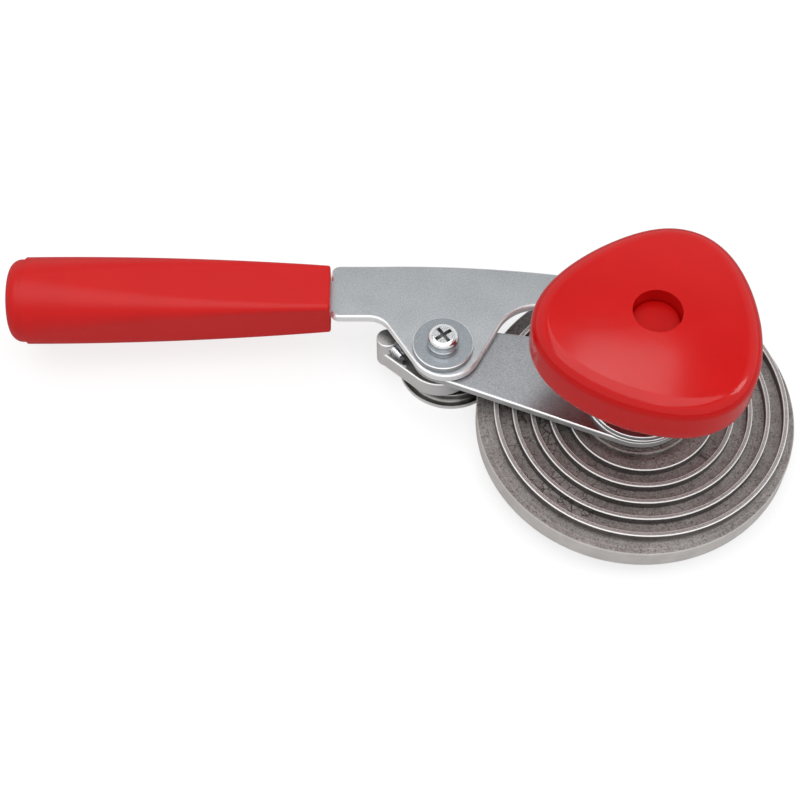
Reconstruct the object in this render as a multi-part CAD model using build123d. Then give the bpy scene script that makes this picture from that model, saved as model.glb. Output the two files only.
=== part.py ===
from build123d import *
import math
import os

# Hand seamer for screw-free metal lids. Millimetres, +Z up.
# The origin is on the chuck axis, in the plane that the machine stands on. The handle points to -X.

# Plates, pins and running clearances
plate_t = 3.0
plate_edge_r = 0.7
face_gap = 0.1
bore_gap = 0.05
bush_wall = 1.5

# Seaming roller, from the standing plane up
roller_rim_r = 16.0
roller_rim_t = 2.0
roller_groove_r = 13.4
roller_groove_h = 1.9
roller_flange_r = 14.5
roller_flange_t = 1.7
roller_neck_r = 9.3
roller_neck_h = 1.3
roller_edge_r = 0.5
roller_axle_r = 3.0
axle_head_r = 5.6
axle_head_t = 1.5
roller_recess_gap = 0.6
roller_washer_t = 0.5
roller_washer_r = 7.6

# Chuck disc
chuck_r = 47.5
chuck_wall_h = 6.8
chuck_edge_r = 0.7
rim_clearance = 0.4
shoulder_rise = 1.2
shoulder_start_r = chuck_r - 9.5
groove_depth = 3.0
groove_gap = 0.25
groove_draft = 0.15
ridge_edge = 0.3
hub_r = 18.0
hub_rise = 1.8
hub_edge_r = 0.8
lid_seat_r = chuck_r - 2.3
lid_seat_depth = 1.5
boss_r = lid_seat_r - 9.7
boss_lip_w = 7.5
boss_relief_depth = 3.0
boss_pad_r = 11.0

# Spindle and the stack over the arm
spindle_r = 3.0
bolt_head_af = 10.0
bolt_head_t = 4.0
bolt_pocket_gap = 0.3
sleeve_wall = 4.0
sleeve_seat = 2.0
hub_washer_r = 16.2
hub_washer_step = 0.5
hub_washer_t = 1.15

# Pivot of the lever on the arm, seen from the chuck axis
pivot_distance = chuck_r + 12.1
pivot_angle = 165.0
post_r = 5.0
spigot_r = 4.0
pivot_screw_r = 2.5
screw_head_r = 4.7
screw_head_t = 3.4
screw_reach = 14.0
screw_head_edge = 0.3
screw_crown_share = 0.5
recess_arm = 2.8
recess_w = 1.15
recess_depth = 2.0
pivot_washer_r = 9.1
pivot_washer_t = 1.6
lock_washer_r = 4.6
lock_washer_edge = 0.25
lock_washer_t = 1.2
lock_washer_split = 0.6

# Arm plate, a tapered link
arm_hub_r = 16.2
arm_end_r = 9.4

# Follower pin in the spiral groove, at rest
follower_distance = chuck_r - 15.1
follower_angle = 86.5
follower_r = 1.75
follower_shoulder_r = 3.0
follower_shoulder_gap = 0.6
follower_floor_gap = 0.4
rivet_r = 2.0

# Spiral groove: how far the lever tilts in a turn of the arm, and how far the arm turns each way
tilt_per_turn = 5.28
swing_in = 690.0
swing_out = 650.0
groove_run_in = 4.0
groove_run_out = 12.0
groove_overrun = 6.0
swing_step = 15.0
full_turn = 360.0
ridge_w = 1.38

# Lever plate, in plan
lobe_r = 10.8
lobe_shift = 0.8
nose_r = 5.0
mouth_x = -91.3
shoulder_x = -78.0
shoulder_front_y = 25.8
shoulder_back_y = 44.6
left_flank_angle = 122.0
right_flank_angle = 61.5
left_fillet_r = 7.0
right_fillet_r = 13.5
back_edge_bow = 2.3
neck_half = 5.0
neck_start_x = -27.0
neck_start_front_y = 29.8
mouth_corner_r = 2.5
tang_w = 11.0
tang_l = 72.0

# Handle grip
grip_y = 33.4
grip_rear_drift = -0.7
grip_l = 96.8
grip_gap = 0.15
grip_front_w = 16.4
grip_front_h = 13.8
grip_front_corner_r = 1.6
grip_rear_r = 13.15
grip_mid_corner_share = 0.5
grip_end_l = 5.0
grip_end_step = 0.6
grip_end_edge_r = 3.5
grip_mouth_edge_r = 0.8

# Roller bracket, placed from the pivot
eccentricity = 9.2
eccentric_angle = 72.3
block_r = 11.1
block_shift = 4.1
block_angle = 101.0
lug_r = 3.2
lug_distance = 18.1
lug_angle = 157.4
lug_proud = 0.15
lug_edge_r = 0.4
ledge_drop = 4.8
bracket_edge_r = 0.6

# Roll pin in the bracket's ledge, and the grub screw in the lug that points at it
roll_pin_r = 1.3
roll_pin_bore_r = 0.6
roll_pin_slit = 0.35
roll_pin_at = (-11.35, 0.8)
roll_pin_proud = 0.8
roll_pin_depth = 4.5
grub_screw_r = 1.75
grub_screw_rise = 1.95
grub_screw_pitch = 0.7
grub_screw_inset = 0.4
dog_r = 1.25
dog_l = 1.1

# Knob
knob_h = 42.5
knob_r = 31.1
knob_outline_steps = 24
knob_lobe_rise = 2.34
knob_lobe_tuck = 0.17
knob_lobe_angle = 64.5
knob_stretch = 0.4
knob_stretch_angle = 19.0
knob_shift = 1.1
knob_shift_angle = 240.0
knob_wall_h = 20.1
knob_crown_r = 5.0
knob_belly_r = 7.0
knob_dome_drop = 1.2
knob_foot_r = 14.0
knob_foot_h = 4.0
knob_neck_top_r = 21.0
knob_neck_bow = 2.5
knob_hole_r = 6.95
knob_hole_depth = 5.0
knob_cap_t = 1.6
nut_af = 10.0
nut_t = 5.0
nut_washer_t = 1.2
nut_washer_r = 6.2

# Levels that follow from the stack
flange_top = roller_rim_t + roller_groove_h + roller_flange_t
roller_top = flange_top + roller_neck_h
bracket_z0 = roller_top + face_gap + roller_washer_t
disc_z0 = flange_top + rim_clearance
rim_z = disc_z0 + chuck_wall_h
floor_z = rim_z + shoulder_rise
ridge_z = floor_z + groove_depth
bevel_z = ridge_z - ridge_edge
hub_z = ridge_z + hub_rise
arm_z0 = hub_z + face_gap
arm_z1 = arm_z0 + plate_t
lever_z0 = arm_z1 + face_gap
lever_z1 = lever_z0 + plate_t
lever_mid = (lever_z0 + lever_z1) / 2
ledge_z = arm_z0 - ledge_drop
lug_z = arm_z0 - face_gap
knob_z0 = lever_z0 + 2 * hub_washer_t
knob_z1 = knob_z0 + knob_h
knob_wall_z0 = knob_z1 - knob_wall_h
cap_z0 = knob_z1 - knob_hole_depth - knob_cap_t
nut_z0 = cap_z0 - face_gap - nut_t
nut_seat_z = nut_z0 - nut_washer_t


def polar(distance, angle, centre=(0.0, 0.0)):
    a = math.radians(angle)
    return (centre[0] + distance * math.cos(a), centre[1] + distance * math.sin(a))


def turned(point, angle, centre=(0.0, 0.0)):
    a = math.radians(angle)
    dx = point[0] - centre[0]
    dy = point[1] - centre[1]
    return (
        centre[0] + dx * math.cos(a) - dy * math.sin(a),
        centre[1] + dx * math.sin(a) + dy * math.cos(a),
    )


# Places in plan
pivot = polar(pivot_distance, pivot_angle)
follower = polar(follower_distance, follower_angle)
roller_axis = polar(eccentricity, eccentric_angle, pivot)
block_centre = polar(block_shift, block_angle, pivot)
lug_centre = polar(lug_distance, lug_angle, pivot)
roll_pin_centre = (pivot[0] + roll_pin_at[0], pivot[1] + roll_pin_at[1])
sleeve_r = spindle_r + bore_gap + sleeve_wall
hub_bush_r = sleeve_r + bore_gap + bush_wall
pivot_bush_r = post_r + bore_gap + bush_wall
groove_half = follower_r + groove_gap
land_edge = groove_half + ridge_w


def drum(radius, z0, z1, centre=(0.0, 0.0)):
    """A plain round solid from one level to another."""
    return Pos(centre[0], centre[1], z0) * Cylinder(
        radius, z1 - z0, align=(Align.CENTER, Align.CENTER, Align.MIN)
    )


def ring(outer, inner, z0, z1, centre=(0.0, 0.0)):
    return drum(outer, z0, z1, centre) - drum(inner, z0, z1, centre)


def hexagon(across_flats, z0, z1, angle=0.0):
    plan = Pos(0, 0, z0) * RegularPolygon(across_flats / 2, 6, major_radius=False, rotation=angle)
    return extrude(plan, z1 - z0)


def edges_at(shape, z):
    return shape.edges().filter_by_position(Axis.Z, z - 1e-4, z + 1e-4)


def tangent_link(centre_a, radius_a, centre_b, radius_b):
    """The face round two circles and their outer tangents."""
    circles = Sketch() + Pos(*centre_a) * Circle(radius_a) + Pos(*centre_b) * Circle(radius_b)
    return make_hull(circles.edges())


# Spiral of the chuck


def groove_point(swing, offset=0.0):
    """The follower's place on the chuck after a swing of the arm, shifted square to its path."""
    step = 0.01

    def place(angle):
        tilted = turned(follower, angle * tilt_per_turn / full_turn, pivot)
        return turned(tilted, angle)

    here = place(swing)
    ahead = place(swing + step)
    length = math.dist(here, ahead)
    side = ((ahead[1] - here[1]) / length, -(ahead[0] - here[0]) / length)
    return (here[0] + side[0] * offset, here[1] + side[1] * offset)


def swing_steps(start, end):
    count = math.ceil((end - start) / swing_step)
    return [start + (end - start) * i / count for i in range(count + 1)]


def groove_plan(half, z):
    """The band that the follower sweeps, with a round inner end and an open outer end."""
    start = -swing_in - groove_run_in
    swings = swing_steps(start, swing_out + groove_run_out + groove_overrun)
    outer = [groove_point(s, half) for s in swings]
    inner = [groove_point(s, -half) for s in swings]
    middle = groove_point(start)
    behind = turned(outer[0], -90, middle)
    edge = Curve() + [
        Spline(*outer),
        Line(outer[-1], inner[-1]),
        Spline(*reversed(inner)),
        ThreePointArc(inner[0], behind, outer[0]),
    ]
    return Pos(0, 0, z) * make_face(edge)


def land_plan(edge_offset, z):
    """One turn of the outer ridge's outline, closed by the step where the groove runs out."""
    end = swing_out + groove_run_out
    ridge = [groove_point(s, edge_offset) for s in swing_steps(end - full_turn, end)]
    edge = Curve() + [Spline(*ridge), Line(ridge[-1], ridge[0])]
    return Pos(0, 0, z) * make_face(edge)


def spiral_land():
    """The raised land before its groove is cut, with a bevelled outer edge."""
    land = extrude(land_plan(land_edge, rim_z), bevel_z - rim_z)
    return land + loft([land_plan(land_edge, bevel_z), land_plan(land_edge - ridge_edge, ridge_z)], ruled=True)


def spiral_groove():
    """What the groove takes away: walls with draft, then bevels at the ridges' tops."""
    walls = loft([groove_plan(groove_half - groove_draft, floor_z), groove_plan(groove_half, bevel_z)], ruled=True)
    tops = loft([groove_plan(groove_half, bevel_z), groove_plan(groove_half + ridge_edge, ridge_z)], ruled=True)
    return [walls, tops]


def chuck_disc():
    profile = Polyline(
        (0, 0),
        (boss_r, 0),
        (boss_r, disc_z0 + lid_seat_depth),
        (lid_seat_r, disc_z0 + lid_seat_depth),
        (lid_seat_r, disc_z0),
        (chuck_r, disc_z0),
        (chuck_r, rim_z),
        (shoulder_start_r, floor_z),
        (0, floor_z),
        close=True,
    )
    disc = revolve(Plane.XZ * make_face(profile), Axis.Z)
    rim = edges_at(disc, rim_z).filter_by(GeomType.CIRCLE)
    disc = fillet(rim, chuck_edge_r)
    hub = fillet(edges_at(drum(hub_r, rim_z, hub_z), hub_z), hub_edge_r)
    disc = disc + spiral_land() + hub
    for cut in spiral_groove():
        disc -= cut
    disc -= ring(boss_r - boss_lip_w, boss_pad_r, 0, boss_relief_depth)
    disc -= hexagon(bolt_head_af + 2 * bolt_pocket_gap, 0, bolt_head_t + bolt_pocket_gap)
    disc -= drum(spindle_r + bore_gap, 0, hub_z)
    disc -= drum(sleeve_r + bore_gap, hub_z - sleeve_seat, hub_z)
    return disc


# Spindle stack


def spindle_bolt():
    head_z0 = bolt_pocket_gap
    head = hexagon(bolt_head_af, head_z0, head_z0 + bolt_head_t)
    head = chamfer(edges_at(head, head_z0), 0.6)
    shank = drum(spindle_r, head_z0 + bolt_head_t, cap_z0 - face_gap)
    return head + chamfer(edges_at(shank, cap_z0 - face_gap), 0.6)


def spindle_sleeve():
    return ring(sleeve_r, spindle_r + bore_gap, hub_z - sleeve_seat, lever_z0)


def hub_washer(level):
    outer = hub_washer_r - level * hub_washer_step
    z0 = lever_z0 + level * hub_washer_t
    washer = ring(outer, spindle_r + bore_gap, z0, z0 + hub_washer_t)
    rim = edges_at(washer, z0 + hub_washer_t).sort_by(SortBy.RADIUS)[-1]
    return fillet(rim, hub_washer_t * 0.35)


# Arm


def arm_plate():
    plan = tangent_link((0, 0), arm_hub_r, pivot, arm_end_r)
    plate = extrude(Pos(0, 0, arm_z0) * plan, plate_t)
    plate = fillet(edges_at(plate, arm_z0) + edges_at(plate, arm_z1), plate_edge_r)
    plate -= drum(hub_bush_r, arm_z0, arm_z1)
    return plate - drum(pivot_bush_r, arm_z0, arm_z1, pivot)


def arm_hub_bush():
    return ring(hub_bush_r, sleeve_r + bore_gap, arm_z0, arm_z1)


def arm_pivot_bush():
    return ring(pivot_bush_r, post_r + bore_gap, arm_z0, arm_z1, pivot)


# Lever


def lever_outline():
    """The lever's plan: a broad shoulder at the grip, a lobe round the pivot and a neck to the follower."""
    lobe = (pivot[0] + lobe_shift, pivot[1])
    left = polar(1, left_flank_angle)
    right = polar(1, right_flank_angle)
    left_touch = (lobe[0] - lobe_r * left[1], lobe[1] + lobe_r * left[0])
    right_touch = (lobe[0] + lobe_r * right[1], lobe[1] - lobe_r * right[0])
    left_top = (
        left_touch[0] + left[0] / left[1] * (shoulder_front_y - left_touch[1]),
        shoulder_front_y,
    )
    neck_dir = math.degrees(
        math.atan2(follower[1] - neck_half - neck_start_front_y, follower[0] - neck_start_x)
    )
    nose_front = polar(nose_r, neck_dir - 90, follower)
    slope = math.tan(math.radians(neck_dir))
    run = (nose_front[1] + slope * (right_touch[0] - nose_front[0]) - right_touch[1]) / (
        right[1] - slope * right[0]
    )
    right_top = (right_touch[0] + right[0] * run, right_touch[1] + right[1] * run)
    back_start = (shoulder_x, shoulder_back_y)
    nose_back = polar(nose_r, 80, follower)
    middle = ((back_start[0] + nose_back[0]) / 2, (back_start[1] + nose_back[1]) / 2 + back_edge_bow)
    lobe_front = polar(lobe_r, (left_flank_angle + right_flank_angle) / 2 - 180, lobe)
    nose_tip = polar(nose_r, (80 + neck_dir - 90) / 2, follower)
    edge = Curve() + [
        Line((mouth_x, shoulder_back_y), (mouth_x, shoulder_front_y)),
        Line((mouth_x, shoulder_front_y), left_top),
        Line(left_top, left_touch),
        ThreePointArc(left_touch, lobe_front, right_touch),
        Line(right_touch, right_top),
        Line(right_top, nose_front),
        ThreePointArc(nose_front, nose_tip, nose_back),
        ThreePointArc(nose_back, middle, back_start),
        Line(back_start, (mouth_x, shoulder_back_y)),
    ]
    plan = make_face(edge)

    def corner(point):
        return plan.vertices().sort_by_distance(Vector(*point))[0]

    left_run = left_fillet_r * math.tan(math.radians(180 - left_flank_angle) / 2)
    front_corner_r = min(mouth_corner_r, 0.9 * (left_top[0] - mouth_x - left_run))
    plan = fillet(corner(left_top), left_fillet_r)
    plan = fillet(corner(right_top), right_fillet_r)
    plan = fillet(corner((mouth_x, shoulder_back_y)), mouth_corner_r)
    return fillet(corner((mouth_x, shoulder_front_y)), front_corner_r)


def lever_plate():
    plate = extrude(Pos(0, 0, lever_z0) * lever_outline(), plate_t)
    plate = fillet(edges_at(plate, lever_z0) + edges_at(plate, lever_z1), plate_edge_r)
    tang = Pos(mouth_x - tang_l / 2, grip_y, lever_mid) * Box(tang_l + 2, tang_w, plate_t)
    plate += tang
    plate -= drum(spigot_r + bore_gap, lever_z0, lever_z1, pivot)
    return plate - drum(rivet_r, lever_z0, lever_z1, follower)


def follower_pin():
    shoulder_z0 = ridge_z + follower_shoulder_gap
    tip_z = floor_z + follower_floor_gap
    tip = chamfer(edges_at(drum(follower_r, tip_z, shoulder_z0, follower), tip_z), 0.3)
    shoulder = drum(follower_shoulder_r, shoulder_z0, lever_z0, follower)
    return tip + shoulder + drum(rivet_r, lever_z0, lever_z1, follower)


def handle_grip():
    """A moulded grip that grows from a flat front to a round rear, with a set-back end."""

    def section(x, width, height, corner):
        y = grip_y + grip_rear_drift * (front - x) / grip_l
        plan = RectangleRounded(width, height, corner)
        return Plane(origin=(x, y, lever_mid), x_dir=(0, 1, 0), z_dir=(-1, 0, 0)) * plan

    front = mouth_x - grip_gap
    rear = front - grip_l
    end_x = rear + grip_end_l
    round_w = 2 * grip_rear_r
    mid_w = (grip_front_w + round_w) / 2
    mid_h = (grip_front_h + round_w) / 2
    mid_corner = mid_h / 2 * grip_mid_corner_share
    body = loft(
        [
            section(front, grip_front_w, grip_front_h, grip_front_corner_r),
            section((front + end_x) / 2, mid_w, mid_h, mid_corner),
            section(end_x, round_w, round_w, grip_rear_r - 0.05),
        ]
    )
    body = fillet(body.faces().sort_by(Axis.X)[-1].edges(), grip_mouth_edge_r)
    end_r = grip_rear_r - grip_end_step
    plug = Pos((end_x + rear) / 2, grip_y + grip_rear_drift, lever_mid) * Rot(0, 90, 0) * Cylinder(end_r, grip_end_l)
    plug = fillet(plug.faces().sort_by(Axis.X)[0].edges(), grip_end_edge_r)
    slot_l = tang_l + 1.5
    slot = Pos(front - slot_l / 2 + 1, grip_y, lever_mid) * Box(
        slot_l + 2, tang_w + 2 * bore_gap, plate_t + 2 * bore_gap
    )
    return body + plug - slot


# Roller bracket and pivot hardware


def roller_bracket():
    plan = tangent_link(block_centre, block_r, lug_centre, lug_r - lug_proud)
    block = extrude(Pos(0, 0, bracket_z0) * plan, ledge_z - bracket_z0)
    block = fillet(edges_at(block, ledge_z) + edges_at(block, bracket_z0), bracket_edge_r)
    lug = drum(lug_r, bracket_z0, lug_z, lug_centre)
    lug = fillet(edges_at(lug, lug_z) + edges_at(lug, bracket_z0), lug_edge_r)
    post = drum(post_r, ledge_z - 1, lever_z0, pivot)
    spigot = drum(spigot_r, lever_z0, lever_z1 - face_gap, pivot)
    bracket = block + lug + post + spigot
    bracket -= drum(pivot_screw_r, lever_z1 - screw_reach, lever_z1, pivot)
    bracket -= along_grub_screw(-2 * lug_r, 2 * lug_r, grub_screw_r)
    bracket -= drum(roll_pin_r, ledge_z - roll_pin_depth, ledge_z + 1, roll_pin_centre)
    return bracket - drum(roller_axle_r, bracket_z0, ledge_z, roller_axis)


def along_grub_screw(start, end, radius):
    """A round solid on the grub screw's axis, which runs from the lug towards the roll pin."""
    dx = roll_pin_centre[0] - lug_centre[0]
    dy = roll_pin_centre[1] - lug_centre[1]
    axis = Plane(
        origin=(lug_centre[0], lug_centre[1], ledge_z + grub_screw_rise),
        x_dir=(0, 0, 1),
        z_dir=(dx, dy, 0),
    )
    return extrude(axis.offset(start) * Circle(radius), end - start)


def grub_screw():
    """A grub screw whose dog point meets the roll pin, with its thread as rings."""
    tip = math.dist(roll_pin_centre, lug_centre) - roll_pin_r
    start = -lug_r + grub_screw_inset
    root_r = grub_screw_r - grub_screw_pitch / 2
    screw = along_grub_screw(start, tip - dog_l, root_r) + along_grub_screw(tip - dog_l, tip, dog_r)
    screw += along_grub_screw(start, lug_r, grub_screw_r)
    rings = int((tip - dog_l - lug_r) / grub_screw_pitch)
    for i in range(rings):
        ring_start = lug_r + (i + 0.5) * grub_screw_pitch
        screw += along_grub_screw(ring_start, ring_start + grub_screw_pitch / 2, grub_screw_r)
    return screw


def roll_pin():
    pin = ring(roll_pin_r, roll_pin_bore_r, ledge_z - roll_pin_depth, ledge_z + roll_pin_proud, roll_pin_centre)
    slit = Box(2 * roll_pin_r, roll_pin_slit, roll_pin_depth + roll_pin_proud + 1)
    middle_z = ledge_z + (roll_pin_proud - roll_pin_depth) / 2
    return pin - Pos(*roll_pin_centre, middle_z) * Rot(0, 0, 60) * Pos(roll_pin_r, 0, 0) * slit


def pivot_washer():
    washer = ring(pivot_washer_r, pivot_screw_r + bore_gap, lever_z1, lever_z1 + pivot_washer_t, pivot)
    rim = edges_at(washer, lever_z1 + pivot_washer_t).sort_by(SortBy.RADIUS)[-1]
    return fillet(rim, 0.4)


def pivot_lock_washer():
    z0 = lever_z1 + pivot_washer_t
    washer = ring(lock_washer_r, pivot_screw_r + bore_gap, z0, z0 + lock_washer_t, pivot)
    rims = washer.edges().filter_by(GeomType.CIRCLE).sort_by(SortBy.RADIUS)[-2:]
    washer = chamfer(rims, lock_washer_edge)
    cut = Box(lock_washer_r, lock_washer_split, 2 * lock_washer_t)
    middle = Pos(pivot[0], pivot[1], z0 + lock_washer_t / 2)
    return washer - middle * Rot(0, 0, 20) * Pos(lock_washer_r / 2 + pivot_screw_r / 2, 0, 0) * Rot(30, 0, 0) * cut


def pivot_screw():
    head_z0 = lever_z1 + pivot_washer_t + lock_washer_t
    head_z1 = head_z0 + screw_head_t
    head = drum(screw_head_r, head_z0, head_z1, pivot)
    head = fillet(edges_at(head, head_z1), screw_head_t * screw_crown_share)
    head = chamfer(edges_at(head, head_z0), screw_head_edge)
    arms = Box(2 * recess_arm, recess_w, 2 * recess_depth) + Box(recess_w, 2 * recess_arm, 2 * recess_depth)
    head -= Pos(pivot[0], pivot[1], head_z1) * Rot(0, 0, 35) * arms
    return head + drum(pivot_screw_r, lever_z1 - screw_reach, head_z0, pivot)


# Roller


def seaming_roller():
    groove_z0 = roller_rim_t
    groove_z1 = roller_rim_t + roller_groove_h
    groove_z = (groove_z0 + groove_z1) / 2
    recess_r = axle_head_r + roller_recess_gap
    recess_z = axle_head_t + roller_recess_gap + face_gap
    bush_r = roller_axle_r + bore_gap + bush_wall
    edge = Curve() + [
        Polyline((bush_r, recess_z), (recess_r, recess_z), (recess_r, 0), (roller_rim_r, 0)),
        Line((roller_rim_r, 0), (roller_rim_r, groove_z0)),
        ThreePointArc(
            (roller_rim_r, groove_z0), (roller_groove_r, groove_z), (roller_flange_r, groove_z1)
        ),
        Polyline(
            (roller_flange_r, groove_z1),
            (roller_flange_r, flange_top),
            (roller_neck_r, flange_top),
            (roller_neck_r, roller_top),
            (bush_r, roller_top),
            (bush_r, recess_z),
        ),
    ]
    roller = revolve(Plane.XZ * make_face(edge), Axis.Z)
    rims = edges_at(roller, 0).sort_by(SortBy.RADIUS)[-1:] + edges_at(roller, flange_top).sort_by(SortBy.RADIUS)[-1:]
    roller = fillet(rims, roller_edge_r)
    return Pos(*roller_axis) * roller


def roller_bush():
    recess_z = axle_head_t + roller_recess_gap + face_gap
    bush_r = roller_axle_r + bore_gap + bush_wall
    return ring(bush_r, roller_axle_r + bore_gap, recess_z, roller_top, roller_axis)


def roller_axle():
    head_z0 = roller_recess_gap
    head = drum(axle_head_r, head_z0, head_z0 + axle_head_t, roller_axis)
    head = fillet(edges_at(head, head_z0), axle_head_t * 0.5)
    return head + drum(roller_axle_r, head_z0 + axle_head_t, ledge_z, roller_axis)


def roller_washer():
    return ring(roller_washer_r, roller_axle_r + bore_gap, bracket_z0 - roller_washer_t, bracket_z0, roller_axis)


# Knob


def knob_outline():
    """A round plan with three soft lobes, a little longer one way and off the axis."""
    points = []
    for i in range(knob_outline_steps):
        angle = 360 * i / knob_outline_steps
        lobe = math.radians(3 * (angle - knob_lobe_angle))
        stretch = math.radians(2 * (angle - knob_stretch_angle))
        shift = math.radians(angle - knob_shift_angle)
        radius = knob_r + knob_lobe_rise * math.cos(lobe) + knob_lobe_tuck * math.cos(2 * lobe)
        radius += knob_stretch * math.cos(stretch) + knob_shift * math.cos(shift)
        points.append(polar(radius, angle))
    return make_face(Spline(*points, periodic=True))


def knob():
    """A moulded three-lobed knob on a round foot, with a domed top and a counterbored centre."""
    dome_ball_r = knob_r**2 / (2 * knob_dome_drop)
    dome = Pos(0, 0, knob_z1 - dome_ball_r) * Sphere(dome_ball_r)
    wall = extrude(Pos(0, 0, knob_wall_z0) * knob_outline(), knob_z1 - knob_wall_z0 + 1) & dome
    wall = fillet(wall.faces().sort_by(Axis.Z)[-1].edges(), knob_crown_r)
    wall = fillet(wall.faces().sort_by(Axis.Z)[0].edges(), knob_belly_r)
    body = wall + knob_neck()
    body -= drum(spindle_r + bore_gap, knob_z0, knob_z1)
    return body - drum(knob_hole_r, nut_seat_z, knob_z1)


def knob_neck():
    """The round foot on the washers, flaring up to the underside of the lobes."""
    foot_top = knob_z0 + knob_foot_h
    join_z = knob_wall_z0 + knob_belly_r
    bow = (
        (knob_foot_r + knob_neck_top_r) / 2 - knob_neck_bow,
        (foot_top + knob_wall_z0) / 2 + knob_neck_bow,
    )
    edge = Curve() + [
        Polyline((0, join_z), (0, knob_z0), (knob_foot_r, knob_z0), (knob_foot_r, foot_top)),
        ThreePointArc((knob_foot_r, foot_top), bow, (knob_neck_top_r, knob_wall_z0)),
        Polyline((knob_neck_top_r, knob_wall_z0), (knob_neck_top_r, join_z), (0, join_z)),
    ]
    return revolve(Plane.XZ * make_face(edge), Axis.Z)


def knob_washer():
    return ring(nut_washer_r, spindle_r + bore_gap, nut_seat_z, nut_z0)


def knob_nut():
    nut = hexagon(nut_af, nut_z0, nut_z0 + nut_t) - drum(spindle_r, nut_z0, nut_z0 + nut_t)
    crown = Pos(0, 0, nut_z0 + nut_t / 2) * Cylinder(nut_af / 2 * 1.1, nut_t)
    return nut & chamfer(edges_at(crown, nut_z0 + nut_t), nut_af * 0.06)


def knob_cap():
    cap = drum(knob_hole_r - bore_gap, cap_z0, cap_z0 + knob_cap_t)
    return fillet(edges_at(cap, cap_z0 + knob_cap_t), knob_cap_t * 0.3)


def build_parts():
    return {
        "chuck_disc": chuck_disc(),
        "spindle_bolt": spindle_bolt(),
        "spindle_sleeve": spindle_sleeve(),
        "hub_washer_lower": hub_washer(0),
        "hub_washer_upper": hub_washer(1),
        "knob": knob(),
        "knob_washer": knob_washer(),
        "knob_nut": knob_nut(),
        "knob_cap": knob_cap(),
        "arm_plate": arm_plate(),
        "arm_hub_bush": arm_hub_bush(),
        "arm_pivot_bush": arm_pivot_bush(),
        "lever_plate": lever_plate(),
        "handle_grip": handle_grip(),
        "follower_pin": follower_pin(),
        "roller_bracket": roller_bracket(),
        "roll_pin": roll_pin(),
        "grub_screw": grub_screw(),
        "pivot_screw": pivot_screw(),
        "pivot_lock_washer": pivot_lock_washer(),
        "pivot_washer": pivot_washer(),
        "roller_axle": roller_axle(),
        "roller_washer": roller_washer(),
        "seaming_roller": seaming_roller(),
        "roller_bush": roller_bush(),
    }


def export_all(parts):
    os.makedirs("parts", exist_ok=True)
    for name, shape in parts.items():
        shape.label = name
        export_step(shape, f"parts/{name}.step")


if __name__ == "__main__":
    export_all(build_parts())
    print("lever tilt per degree of swing", tilt_per_turn / 360)
    print("pivot", pivot, "roller axis", roller_axis)
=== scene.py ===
import math

import bpy
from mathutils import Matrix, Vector


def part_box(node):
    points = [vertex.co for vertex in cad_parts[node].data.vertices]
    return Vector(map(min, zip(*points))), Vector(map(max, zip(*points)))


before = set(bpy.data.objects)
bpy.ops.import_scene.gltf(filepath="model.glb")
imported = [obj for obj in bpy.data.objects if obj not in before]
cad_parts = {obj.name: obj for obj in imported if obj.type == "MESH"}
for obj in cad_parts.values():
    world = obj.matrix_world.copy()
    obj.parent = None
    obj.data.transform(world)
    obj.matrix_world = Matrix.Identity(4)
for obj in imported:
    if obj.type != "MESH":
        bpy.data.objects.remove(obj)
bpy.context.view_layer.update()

scene = bpy.context.scene
MM = 0.001

# Places and levels of the CAD model, in metres. The spindle stands at the origin.
SPINDLE = (0.0, 0.0)
DISC_LOW, DISC_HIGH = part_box("chuck_disc")
DISC_R = (DISC_HIGH.x - DISC_LOW.x) / 2
RIM_Z = 12.8 * MM
GROOVE_FLOOR_Z = 14.0 * MM
BEVEL_Z = 16.7 * MM
RIDGE_Z = 17.0 * MM
ROLLER_LOW, ROLLER_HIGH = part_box("seaming_roller")
ROLLER_R = (ROLLER_HIGH.x - ROLLER_LOW.x) / 2
ROLLER = ((ROLLER_LOW.x + ROLLER_HIGH.x) / 2, (ROLLER_LOW.y + ROLLER_HIGH.y) / 2)
PIVOT_LOW, PIVOT_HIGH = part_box("pivot_washer")
PIVOT = ((PIVOT_LOW.x + PIVOT_HIGH.x) / 2, (PIVOT_LOW.y + PIVOT_HIGH.y) / 2)
SCREW_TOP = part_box("pivot_screw")[1].z
CROSS_R = 3.0 * MM

# Nearly all of a noise texture lies between these two values
NOISE_LOW = 0.3
NOISE_HIGH = 0.7

# Where a rounded edge and where an upright face begin and are complete, as the size of the normal's z
CREST = (0.97, 0.85)
UPRIGHT = (0.5, 0.3)

# How metallic a surface is. Polished steel is 1, and what is missing scatters light as satin does.
POLISHED_METAL = 1.0
CREST_METAL = 0.8
RECESS_SHADE_METAL = 0.6
CAST_METAL = 0.4
SATIN_METAL = 0.3

# The camera, fitted to the photograph
CAMERA_PLACE = (-0.07037, -0.26065, 0.45501)
CAMERA_TILT = 30.892
CAMERA_LENS = 77.1
CAMERA_SENSOR = 36.0
CAMERA_NEAR = 0.01

# Area lamps: place, target, size and power in watts. The patch makes the highlight on the knob's top.
LAMPS = {
    "key": ((-0.12, -0.12, 0.80), (-0.06, -0.06, 0.02), (0.96, 0.88), 5.2),
    "patch": ((0.062, 0.345, 0.80), (0.0, -0.02, 0.06), (0.17, 0.12), 0.21),
    "right": ((0.68, -0.06, 0.58), (0.0, 0.0, 0.03), (0.26, 0.26), 1.1),
}

# Brightness of the world, by kind of ray. In gloss it is bright up to BRIGHT_TO and dim from DIM_FROM,
# both as the sine of the elevation.
WORLD_SEEN = 1.0
WORLD_DIFFUSE = 0.45
WORLD_BRIGHT = 1.0
WORLD_DIM = 0.40
BRIGHT_TO = 0.70
DIM_FROM = 0.84

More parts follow.
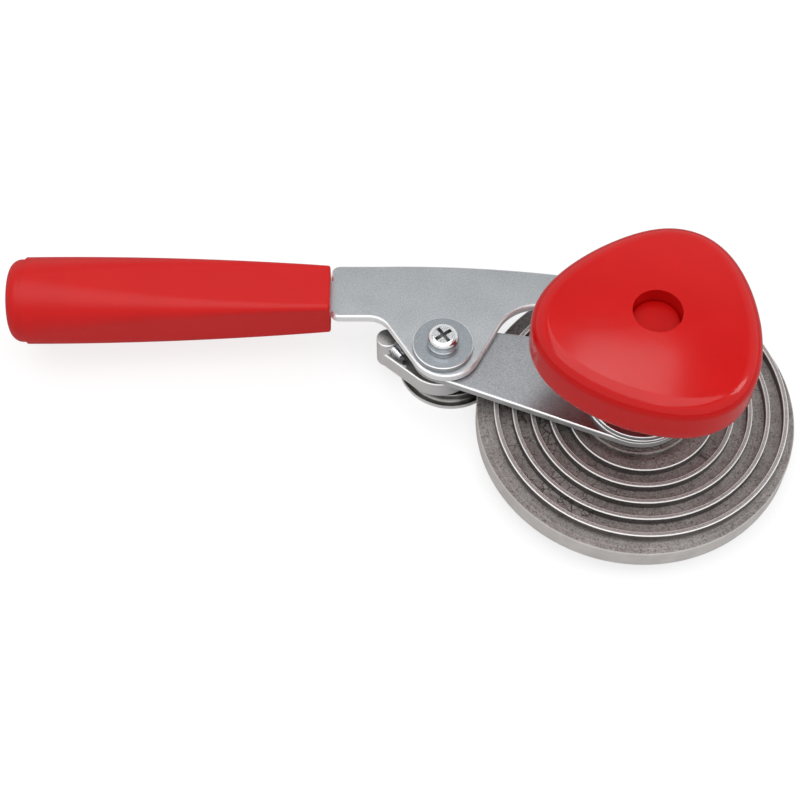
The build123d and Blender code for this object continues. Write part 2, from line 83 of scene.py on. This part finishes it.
# The floor's half width and its shade, by kind of ray. The camera also sees it glow, so shadows stay soft.
FLOOR_HALF = 3.0
FLOOR_SEEN = 0.28
FLOOR_GLOW = 0.76
FLOOR_GLOSSY = 0.36
FLOOR_DIFFUSE = 0.88


# Node trees


class Tree:
    """A short way to write a node tree."""

    def __init__(self, tree):
        self.tree = tree
        tree.nodes.clear()

    def add(self, kind, **values):
        """A new node. Values whose names start with in_ go to its sockets, the rest are its settings."""
        node = self.tree.nodes.new(kind)
        for key, value in values.items():
            if key.startswith("in_"):
                name = key[3:].replace("_", " ")
                socket = node.inputs[int(name)] if name.isdigit() else node.inputs[name]
                self.feed(socket, value)
            else:
                setattr(node, key, value)
        return node

    def feed(self, socket, value):
        """Link a node or one of its outputs to a socket, or set the socket's own value."""
        if isinstance(value, bpy.types.Node):
            value = value.outputs[0]
        if isinstance(value, bpy.types.NodeSocket):
            self.tree.links.new(value, socket)
        else:
            socket.default_value = value

    def math(self, operation, a, b=0.0):
        return self.add("ShaderNodeMath", operation=operation, in_0=a, in_1=b)

    def plus(self, a, b):
        return self.math("ADD", a, b)

    def minus(self, a, b):
        return self.math("SUBTRACT", a, b)

    def times(self, a, b):
        return self.math("MULTIPLY", a, b)

    def larger(self, a, b):
        return self.math("MAXIMUM", a, b)

    def ramp(self, value, low, high, to_low=0.0, to_high=1.0):
        """A clamped linear map of a number."""
        return self.add(
            "ShaderNodeMapRange",
            in_Value=value,
            in_From_Min=low,
            in_From_Max=high,
            in_To_Min=to_low,
            in_To_Max=to_high,
        )

    def spread(self, noise, to_low=0.0, to_high=1.0):
        """A noise stretched to a whole range."""
        return self.ramp(noise, NOISE_LOW, NOISE_HIGH, to_low, to_high)

    def fade(self, share, start, end):
        """The start value where the share is 0, and the end value where it is 1."""
        return self.ramp(share, 0.0, 1.0, start, end)

    def mix(self, share, a, b):
        """Colour a where the share is 0, and colour b where it is 1."""
        node = self.tree.nodes.new("ShaderNodeMix")
        node.data_type = "RGBA"
        self.feed(node.inputs[0], share)
        self.feed(node.inputs[6], a)
        self.feed(node.inputs[7], b)
        return node.outputs[2]

    def noise(self, place, size, detail=2.0, roughness=0.5):
        """Noise whose features are about size metres across."""
        return self.add(
            "ShaderNodeTexNoise",
            in_Vector=place,
            in_Scale=1.0 / size,
            in_Detail=detail,
            in_Roughness=roughness,
        ).outputs[0]

    def xyz(self, vector):
        """The three numbers of a vector."""
        return self.add("ShaderNodeSeparateXYZ", in_Vector=vector).outputs

    def from_axis(self, place, centre):
        """The distance from a vertical axis, and the height."""
        foot = (centre[0], centre[1], 0.0)
        away = self.add("ShaderNodeVectorMath", operation="SUBTRACT", in_0=place, in_1=foot)
        x, y, height = self.xyz(away)
        square = self.plus(self.times(x, x), self.times(y, y))
        return self.math("SQRT", square), height

    def rings(self, radius, height, size):
        """Noise that is the same all round an axis, as a lathe leaves it."""
        section = self.add("ShaderNodeCombineXYZ", in_X=radius, in_Y=height)
        return self.noise(section, size, 1.0)


def rgb(r, g, b):
    """An sRGB colour of 0 to 255 as linear RGBA."""

    def linear(c):
        c /= 255.0
        return c / 12.92 if c <= 0.04045 else ((c + 0.055) / 1.055) ** 2.4

    return (linear(r), linear(g), linear(b), 1.0)


def grey(value):
    return (value, value, value, 1.0)


def material(name):
    """A new material with its tree, its shader, and the place on the object in metres."""
    made = bpy.data.materials.new(name)
    made.use_nodes = True
    t = Tree(made.node_tree)
    shader = t.add("ShaderNodeBsdfPrincipled")
    t.add("ShaderNodeOutputMaterial", in_Surface=shader)
    place = t.add("ShaderNodeTexCoord").outputs["Object"]
    return made, t, shader, place


def bump(t, shader, height, distance):
    t.feed(shader.inputs["Normal"], t.add("ShaderNodeBump", in_Distance=distance, in_Height=height))


# Kinds of material


def plated(name, light, dark, edge=None, rough=(0.28, 0.36), grain=0.32 * MM, patch=9 * MM):
    """Plated steel with a fine sparkle. With an edge colour, upright faces take that colour and rounded
    edges are painted white: a painted highlight.
    """
    made, t, shader, place = material(name)
    clouds = t.noise(place, patch, 3.0)
    sparkle = t.noise(place, grain, 1.0)
    share = t.plus(t.times(clouds, 0.2), t.times(sparkle, 0.8))
    colour = t.mix(t.spread(share), dark, light)
    if edge:
        normal = t.add("ShaderNodeNewGeometry").outputs["Normal"]
        level = t.math("ABSOLUTE", t.xyz(normal)[2])
        crest_highlight = t.ramp(level, *CREST)
        upright = t.ramp(level, *UPRIGHT)
        # Rounded edges painted near white: a painted highlight where the edges catch the light
        colour = t.mix(upright, t.mix(crest_highlight, colour, rgb(253, 253, 253)), edge)
        top_metal = t.fade(crest_highlight, POLISHED_METAL, CREST_METAL)
        t.feed(shader.inputs["Metallic"], t.fade(upright, top_metal, SATIN_METAL))
    else:
        shader.inputs["Metallic"].default_value = POLISHED_METAL
    t.feed(shader.inputs["Base Color"], colour)
    t.feed(shader.inputs["Roughness"], t.spread(sparkle, *rough))
    bump(t, shader, sparkle, 0.006 * MM)
    return made


def screw_metal(name):
    """Bright plated screws, with painted shade in the cross recess of the pivot screw."""
    made, t, shader, place = material(name)
    radius, height = t.from_axis(place, PIVOT)
    sparkle = t.noise(place, 0.6 * MM, 1.0)
    colour = t.mix(t.spread(sparkle), rgb(212, 214, 216), rgb(228, 230, 232))
    # The cross recess is painted darker and less metallic: painted shade where the recess lies in shade
    inside = t.ramp(radius, CROSS_R + 0.1 * MM, CROSS_R - 0.1 * MM)
    deep = t.ramp(height, SCREW_TOP - 0.15 * MM, SCREW_TOP - 0.6 * MM)
    recess = t.times(inside, deep)
    t.feed(shader.inputs["Base Color"], t.mix(recess, colour, rgb(128, 130, 128)))
    t.feed(shader.inputs["Metallic"], t.fade(recess, POLISHED_METAL, RECESS_SHADE_METAL))
    t.feed(shader.inputs["Roughness"], t.spread(sparkle, 0.18, 0.23))
    bump(t, shader, sparkle, 0.001 * MM)
    return made


def turned(name, centre, light, dark, rough, rim_r=None):
    """Turned metal: fine rings round a vertical axis, with stains. Outside rim_r it is painted bright: a
    painted reflection of the white floor on the rim.
    """
    made, t, shader, place = material(name)
    radius, height = t.from_axis(place, centre)
    rings = t.rings(radius, height, 0.28 * MM)
    clouds = t.noise(place, 5 * MM, 3.0)
    share = t.ramp(t.plus(t.times(clouds, 0.5), t.times(rings, 0.5)), 0.35, 0.65)
    colour = t.mix(share, dark, light)
    if rim_r:
        # Painted light: the rim is painted near white and less metallic, standing in for the floor's light
        # on it
        rim = t.ramp(radius, rim_r, rim_r + 0.3 * MM)
        colour = t.mix(rim, colour, t.mix(share, rgb(232, 231, 230), rgb(252, 251, 250)))
        t.feed(shader.inputs["Metallic"], t.fade(rim, POLISHED_METAL, SATIN_METAL))
    else:
        shader.inputs["Metallic"].default_value = POLISHED_METAL
    t.feed(shader.inputs["Base Color"], colour)
    t.feed(shader.inputs["Roughness"], t.spread(rings, *rough))
    bump(t, shader, rings, 0.006 * MM)
    return made


def moulded(name, light, dark, rough, level=0.3):
    """Moulded plastic with a faint flow in its colour, a slight orange peel and fine scuffs."""
    made, t, shader, place = material(name)
    flow = t.noise(place, 14 * MM, 3.0)
    peel = t.noise(place, 2.5 * MM)
    scuffs = t.noise(place, 1.2 * MM, 4.0, 0.7)
    t.feed(shader.inputs["Base Color"], t.mix(t.spread(flow), dark, light))
    t.feed(shader.inputs["Roughness"], t.ramp(scuffs, 0.4, 0.8, rough - 0.02, rough + 0.06))
    shader.inputs["Specular IOR Level"].default_value = level
    bump(t, shader, peel, 0.01 * MM)
    return made


def cracks(t, place, radius, clouds):
    """Dried cracks, more of them to the left. They fade out towards the rim."""
    cells = t.add(
        "ShaderNodeTexVoronoi",
        feature="DISTANCE_TO_EDGE",
        in_Vector=place,
        in_Scale=1 / (2.8 * MM),
    ).outputs["Distance"]
    left = t.ramp(t.xyz(place)[0], 0.0, -30 * MM, 0.0, 0.14)
    dry = t.ramp(t.plus(clouds, left), 0.58, 0.66)
    dry = t.times(dry, t.ramp(radius, 41 * MM, 43 * MM, 1.0, 0.3))
    return t.times(t.ramp(cells, 0.05, 0.02), dry)


def cast_disc(name):
    """Cast aluminium: stained, pitted and cracked in the groove, worn on the ridges, satin on the wall.
    The groove walls carry painted shade and the ridge bevels a painted white highlight.
    """
    made, t, shader, place = material(name)
    radius, height = t.from_axis(place, SPINDLE)
    grain = t.noise(place, 0.55 * MM, 3.0, 0.6)
    clouds = t.noise(place, 6 * MM, 4.0)
    pits = t.noise(place, 0.6 * MM)
    stain = t.noise(place, 3.2 * MM, 4.0, 0.7)
    broad = t.noise(place, 16 * MM)
    rings = t.rings(radius, height, 0.5 * MM)

    outside_hub = t.ramp(radius, 19.0 * MM, 19.4 * MM)
    outer_turns = t.ramp(radius, 22.0 * MM, 25.0 * MM)
    above_floor = t.ramp(height, GROOVE_FLOOR_Z + 0.1 * MM, GROOVE_FLOOR_Z + 0.4 * MM)
    below_bevel = t.ramp(height, BEVEL_Z - 0.1 * MM, BEVEL_Z - 0.4 * MM)
    above_wall = t.ramp(height, BEVEL_Z - 0.04 * MM, BEVEL_Z + 0.04 * MM)
    below_top = t.ramp(height, RIDGE_Z - 0.01 * MM, RIDGE_Z - 0.04 * MM)
    at_edge = t.ramp(radius, DISC_R - 0.4 * MM, DISC_R - 0.1 * MM)
    below_rim = t.ramp(height, RIM_Z + 0.4 * MM, RIM_Z - 0.2 * MM)
    groove_wall_shade = t.times(above_floor, below_bevel)
    bevel_highlight = t.times(t.times(above_wall, below_top), outside_hub)
    ridge = t.times(above_wall, outer_turns)
    outer_wall = t.times(at_edge, below_rim)

    raw = t.mix(t.spread(clouds), rgb(114, 107, 104), rgb(142, 137, 134))
    raw = t.mix(t.ramp(grain, 0.42, 0.66, 0.0, 0.6), raw, rgb(174, 169, 167))
    raw = t.mix(t.ramp(rings, 0.5, 0.7, 0.0, 0.35), raw, rgb(184, 180, 178))
    raw = t.mix(t.ramp(pits, 0.56, 0.68, 0.0, 0.7), raw, rgb(58, 50, 46))
    raw = t.mix(t.ramp(stain, 0.56, 0.68, 0.0, 0.4), raw, rgb(80, 62, 52))
    raw = t.mix(t.times(cracks(t, place, radius, clouds), 0.85), raw, rgb(44, 34, 28))
    raw = t.mix(t.ramp(broad, 0.35, 0.65, 0.30, 0.0), raw, rgb(70, 60, 55))
    # Groove walls darkened: painted shade at the foot of the ridges
    raw = t.mix(t.times(groove_wall_shade, 0.55), raw, rgb(40, 34, 32))
    worn = t.mix(t.ramp(grain, 0.35, 0.7), rgb(132, 127, 125), rgb(172, 168, 166))
    satin = t.mix(t.spread(clouds), rgb(200, 195, 192), rgb(218, 214, 211))
    satin = t.mix(t.ramp(rings, 0.4, 0.7, 0.0, 0.4), satin, rgb(230, 227, 225))

    colour = t.mix(ridge, raw, worn)
    # Ridge bevels painted near white: a painted highlight where the ridge edges catch the light
    colour = t.mix(bevel_highlight, colour, rgb(254, 253, 252))
    colour = t.mix(outer_wall, colour, satin)
    t.feed(shader.inputs["Base Color"], colour)
    dull = t.larger(outside_hub, outer_wall)
    t.feed(shader.inputs["Metallic"], t.fade(dull, POLISHED_METAL, CAST_METAL))
    t.feed(shader.inputs["Roughness"], t.spread(grain, 0.42, 0.56))
    relief = t.minus(t.times(grain, 0.3), t.ramp(pits, 0.62, 0.72))
    smooth = t.larger(ridge, outer_wall)
    bump(t, shader, t.times(relief, t.minus(1.0, smooth)), 0.03 * MM)
    return made


# The model


def dress(look, *nodes):
    for node in nodes:
        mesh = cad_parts[node].data
        mesh.materials.clear()
        mesh.materials.append(look)


def model():
    """Give every node its look."""
    plate = plated("plate", rgb(185, 188, 191), rgb(149, 152, 155), rgb(244, 245, 246))
    dress(plate, "lever_plate")
    # The arm is a darker copy of the plate, its upright faces too: painted shade where the knob and lever
    # shade the arm
    arm = plated("arm", rgb(160, 162, 165), rgb(128, 130, 133), rgb(184, 185, 186))
    dress(arm, "arm_plate")
    washer = plated("washer", rgb(156, 161, 166), rgb(126, 132, 136), rgb(158, 160, 162), grain=0.25 * MM)
    dress(washer, "hub_washer_lower", "hub_washer_upper", "pivot_washer", "roller_washer", "knob_washer")
    bracket = plated(
        "bracket",
        rgb(184, 183, 182),
        rgb(140, 139, 138),
        rgb(213, 212, 212),
        rough=(0.34, 0.46),
        patch=4 * MM,
    )
    dress(bracket, "roller_bracket")
    bright = screw_metal("bright_steel")
    dress(bright, "pivot_screw", "pivot_lock_washer", "spindle_bolt", "knob_nut", "grub_screw", "roll_pin")
    ground = plated("ground_steel", rgb(172, 170, 168), rgb(136, 134, 132), rough=(0.22, 0.36))
    dress(ground, "follower_pin", "roller_axle", "spindle_sleeve")
    roller = turned(
        "roller",
        ROLLER,
        rgb(160, 159, 156),
        rgb(122, 121, 119),
        rough=(0.26, 0.38),
        rim_r=ROLLER_R - 0.5 * MM,
    )
    dress(roller, "seaming_roller")
    bronze = turned("bronze", SPINDLE, rgb(190, 158, 110), rgb(150, 118, 76), rough=(0.24, 0.38))
    dress(bronze, "arm_hub_bush", "arm_pivot_bush", "roller_bush")
    dress(moulded("knob_red", rgb(198, 11, 10), rgb(192, 8, 8), rough=0.14), "knob")
    dress(moulded("cap_red", rgb(188, 8, 8), rgb(180, 6, 6), rough=0.35, level=0.15), "knob_cap")
    dress(moulded("grip_red", rgb(200, 12, 11), rgb(195, 8, 8), rough=0.42), "handle_grip")
    dress(cast_disc("cast_disc"), "chuck_disc")


# Camera, floor, background and lights


def camera():
    data = bpy.data.cameras.new("camera")
    data.lens = CAMERA_LENS
    data.sensor_width = CAMERA_SENSOR
    data.clip_start = CAMERA_NEAR
    made = bpy.data.objects.new("camera", data)
    made.location = CAMERA_PLACE
    made.rotation_euler = (math.radians(CAMERA_TILT), 0.0, 0.0)
    scene.collection.objects.link(made)
    scene.camera = made


def floor():
    """A white floor. To the camera it glows a little, and in gloss it is grey."""
    mesh = bpy.data.meshes.new("floor")
    corners = [(-1, -1), (1, -1), (1, 1), (-1, 1)]
    mesh.from_pydata([(x * FLOOR_HALF, y * FLOOR_HALF, 0) for x, y in corners], [], [(0, 1, 2, 3)])
    made = bpy.data.objects.new("floor", mesh)
    scene.collection.objects.link(made)
    look, t, shader, place = material("floor")
    rays = t.add("ShaderNodeLightPath").outputs
    colour = t.mix(rays["Is Glossy Ray"], grey(FLOOR_DIFFUSE), grey(FLOOR_GLOSSY))
    colour = t.mix(rays["Is Camera Ray"], colour, grey(FLOOR_SEEN))
    uneven = t.spread(t.noise(place, 80 * MM), 0.96, 1.0)
    t.feed(shader.inputs["Base Color"], t.mix(uneven, grey(0.0), colour))
    shader.inputs["Roughness"].default_value = 0.9
    shader.inputs["Specular IOR Level"].default_value = 0.1
    shader.inputs["Emission Color"].default_value = grey(1.0)
    t.feed(shader.inputs["Emission Strength"], t.times(rays["Is Camera Ray"], FLOOR_GLOW))
    mesh.materials.append(look)


def background():
    """White to the camera, a plain grey for diffuse light, and in gloss bright below and dim above."""
    world = bpy.data.worlds.new("studio")
    scene.world = world
    world.use_nodes = True
    t = Tree(world.node_tree)
    rays = t.add("ShaderNodeLightPath").outputs
    up = t.xyz(t.add("ShaderNodeTexCoord").outputs["Generated"])[2]
    mirrored = t.ramp(up, BRIGHT_TO, DIM_FROM, WORLD_BRIGHT, WORLD_DIM)
    gloss = t.larger(rays["Is Glossy Ray"], rays["Is Transmission Ray"])
    strength = t.mix(gloss, grey(WORLD_DIFFUSE), mirrored)
    strength = t.mix(rays["Is Camera Ray"], strength, grey(WORLD_SEEN))
    shade = t.add("ShaderNodeBackground", in_Color=strength)
    t.add("ShaderNodeOutputWorld", in_Surface=shade)


def lamp(name, place, target, size, power):
    data = bpy.data.lights.new(name, "AREA")
    data.shape = "RECTANGLE"
    data.size, data.size_y = size
    data.energy = power
    made = bpy.data.objects.new(name, data)
    made.location = place
    aim = Vector(target) - Vector(place)
    made.rotation_euler = aim.to_track_quat("-Z", "Y").to_euler()
    scene.collection.objects.link(made)


model()
camera()
floor()
background()
for name, values in LAMPS.items():
    lamp(name, *values)
scene.view_settings.view_transform = "Standard"
